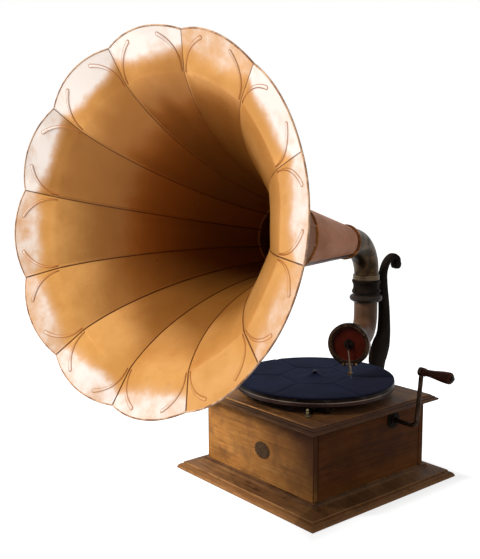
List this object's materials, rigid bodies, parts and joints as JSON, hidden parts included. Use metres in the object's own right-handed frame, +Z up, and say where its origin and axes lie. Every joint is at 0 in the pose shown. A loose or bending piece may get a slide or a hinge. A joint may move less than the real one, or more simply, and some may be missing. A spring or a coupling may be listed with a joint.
{
  "type": "horn gramophone",
  "caption": "Table gramophone with a flared petal horn on a cast rear bracket, a tonearm with a soundbox, a felted turntable, and a crank-wound spring motor in a square wooden case.",
  "frame": {"origin": "centre of the base board's underside, on the turntable's axis", "axes": "+Z up; -Y to the front of the case, where the horn opens; +X to the crank's side"},
  "size_m": [0.499, 0.6559, 0.6541],
  "materials": {
    "base_wood": "varnished, worn",
    "front_oak": "honey-brown varnish",
    "side_wood": "dark varnish",
    "block_wood": "bare",
    "top_wood": "varnished",
    "brass": "aged",
    "dull_nickel": "dull nickel plate",
    "navy_felt": "felt",
    "steel": "turned",
    "pad_leather": "matte",
    "dark_iron": "satin",
    "dark_steel": "browned",
    "grip_wood": "polished",
    "motor_iron": "painted grey",
    "spring_steel": "blued",
    "black_iron": "black enamel",
    "brown_arm": "brown lacquer",
    "red_fibre": "red-brown fibre",
    "white_rubber": "matte",
    "bright_steel": "polished",
    "aged_nickel": "aged nickel",
    "bronze": "aged bronze",
    "mauve_enamel": "gloss enamel",
    "amber_enamel": "gloss enamel"
  },
  "bodies": {
    "base": {"base_board": "base_wood", "base_moulding": "base_wood", "front_panel": "front_oak", "back_panel": "side_wood", "left_panel": "side_wood", "right_panel": "side_wood", "corner_blocks": "block_wood", "top_board": "top_wood", "board_screws": "brass", "spindle_bush": "brass", "crank_escutcheon": "dark_iron", "motor_frame": "motor_iron", "back_bracket": "black_iron", "bracket_screws": "dark_steel"},
    "turntable": {"platter": "dull_nickel", "felt_mat": "navy_felt", "spindle": "steel", "worm_wheel": "brass"},
    "intermediate": {"crown_wheel": "brass"},
    "barrel": {"spring_barrel": "dull_nickel", "mainspring": "spring_steel"},
    "governor": {"governor_shaft": "steel", "governor_weights": "brass", "governor_disc": "steel"},
    "crank": {"crank_rod": "dark_steel", "crank_pinion": "steel", "grip_pin": "dull_nickel"},
    "grip": {"crank_grip": "grip_wood"},
    "arbor": {"winding_arbor": "steel", "winding_gear": "brass"},
    "click": {"ratchet_click": "steel"},
    "brake": {"brake_lever": "brass", "brake_pad": "pad_leather"},
    "speed": {"speed_knob": "dull_nickel", "speed_pad": "pad_leather"},
    "tonearm": {"tonearm": "brown_arm"},
    "soundbox": {"soundbox_body": "dull_nickel", "soundbox_ring": "dull_nickel", "diaphragm": "red_fibre", "gaskets": "white_rubber", "stylus_bar": "dark_steel", "soundbox_screws": "brass", "needle": "bright_steel"},
    "horn": {"horn_elbow": "aged_nickel", "horn_rings": "bronze", "horn_cone": "mauve_enamel", "rim_wire": "dark_steel", "horn_petal_01": "amber_enamel", "horn_petal_02": "amber_enamel", "horn_petal_03": "amber_enamel", "horn_petal_04": "amber_enamel", "horn_petal_05": "amber_enamel", "horn_petal_06": "amber_enamel", "horn_petal_07": "amber_enamel", "horn_petal_08": "amber_enamel", "horn_petal_09": "amber_enamel", "horn_petal_10": "amber_enamel", "horn_petal_11": "amber_enamel", "horn_petal_12": "amber_enamel"}
  },
  "joints": [
    {"name": "turntable_spin", "type": "hinge", "parent": "base", "child": "turntable", "pos_m": [0, 0, 0.15], "axis": [0, 0, 1], "continuous": true},
    {"name": "intermediate_spin", "type": "hinge", "parent": "base", "child": "intermediate", "pos_m": [0, 0, 0.04893], "axis": [1, 0, 0], "continuous": true},
    {"name": "barrel_spin", "type": "hinge", "parent": "base", "child": "barrel", "pos_m": [0.027, 0.036, 0.07152], "axis": [1, 0, 0], "continuous": true},
    {"name": "governor_spin", "type": "hinge", "parent": "base", "child": "governor", "pos_m": [-0.01835, -0.02, 0.106], "axis": [0, 1, 0], "continuous": true},
    {"name": "crank_turn", "type": "hinge", "parent": "base", "child": "crank", "pos_m": [0.12, 0.048, 0.108], "axis": [1, 0, 0], "continuous": true},
    {"name": "arbor_wind", "type": "hinge", "parent": "base", "child": "arbor", "pos_m": [0.05, 0.036, 0.07152], "axis": [1, 0, 0], "continuous": true},
    {"name": "grip_spin", "type": "hinge", "parent": "crank", "child": "grip", "pos_m": [0.19, 0.05705, 0.19], "axis": [1, 0, 0], "continuous": true},
    {"name": "click_lift", "type": "hinge", "parent": "base", "child": "click", "pos_m": [0.06, 0.00343, 0.05967], "axis": [1, 0, 0], "range_deg": [0, 12]},
    {"name": "brake_turn", "type": "hinge", "parent": "base", "child": "brake", "pos_m": [0.07, -0.07, 0.1353], "axis": [0, 0, 1], "range_deg": [-8, 0]},
    {"name": "speed_turn", "type": "hinge", "parent": "base", "child": "speed", "pos_m": [-0.099, -0.09, 0.13], "axis": [0, 0, 1], "range_deg": [-6, 1.6]},
    {"name": "tonearm_swing", "type": "hinge", "parent": "base", "child": "tonearm", "pos_m": [0, 0.1168, 0.285], "axis": [0, 0, 1], "range_deg": [-47, 33]},
    {"name": "soundbox_swivel", "type": "hinge", "parent": "tonearm", "child": "soundbox", "pos_m": [0.04585, 0.02681, 0.214], "axis": [0.454, -0.891, 0], "range_deg": [-100, 180]},
    {"name": "horn_turn", "type": "hinge", "parent": "base", "child": "horn", "pos_m": [0, 0.1168, 0.297], "axis": [0, 0, 1], "continuous": true}
  ],
  "couplings": [
    {"joint": "intermediate_spin", "follows": "turntable_spin", "ratio": 0.25},
    {"joint": "barrel_spin", "follows": "turntable_spin", "ratio": -0.053571},
    {"joint": "governor_spin", "follows": "turntable_spin", "ratio": 30},
    {"joint": "arbor_wind", "follows": "crank_turn", "ratio": -0.33333}
  ]
}
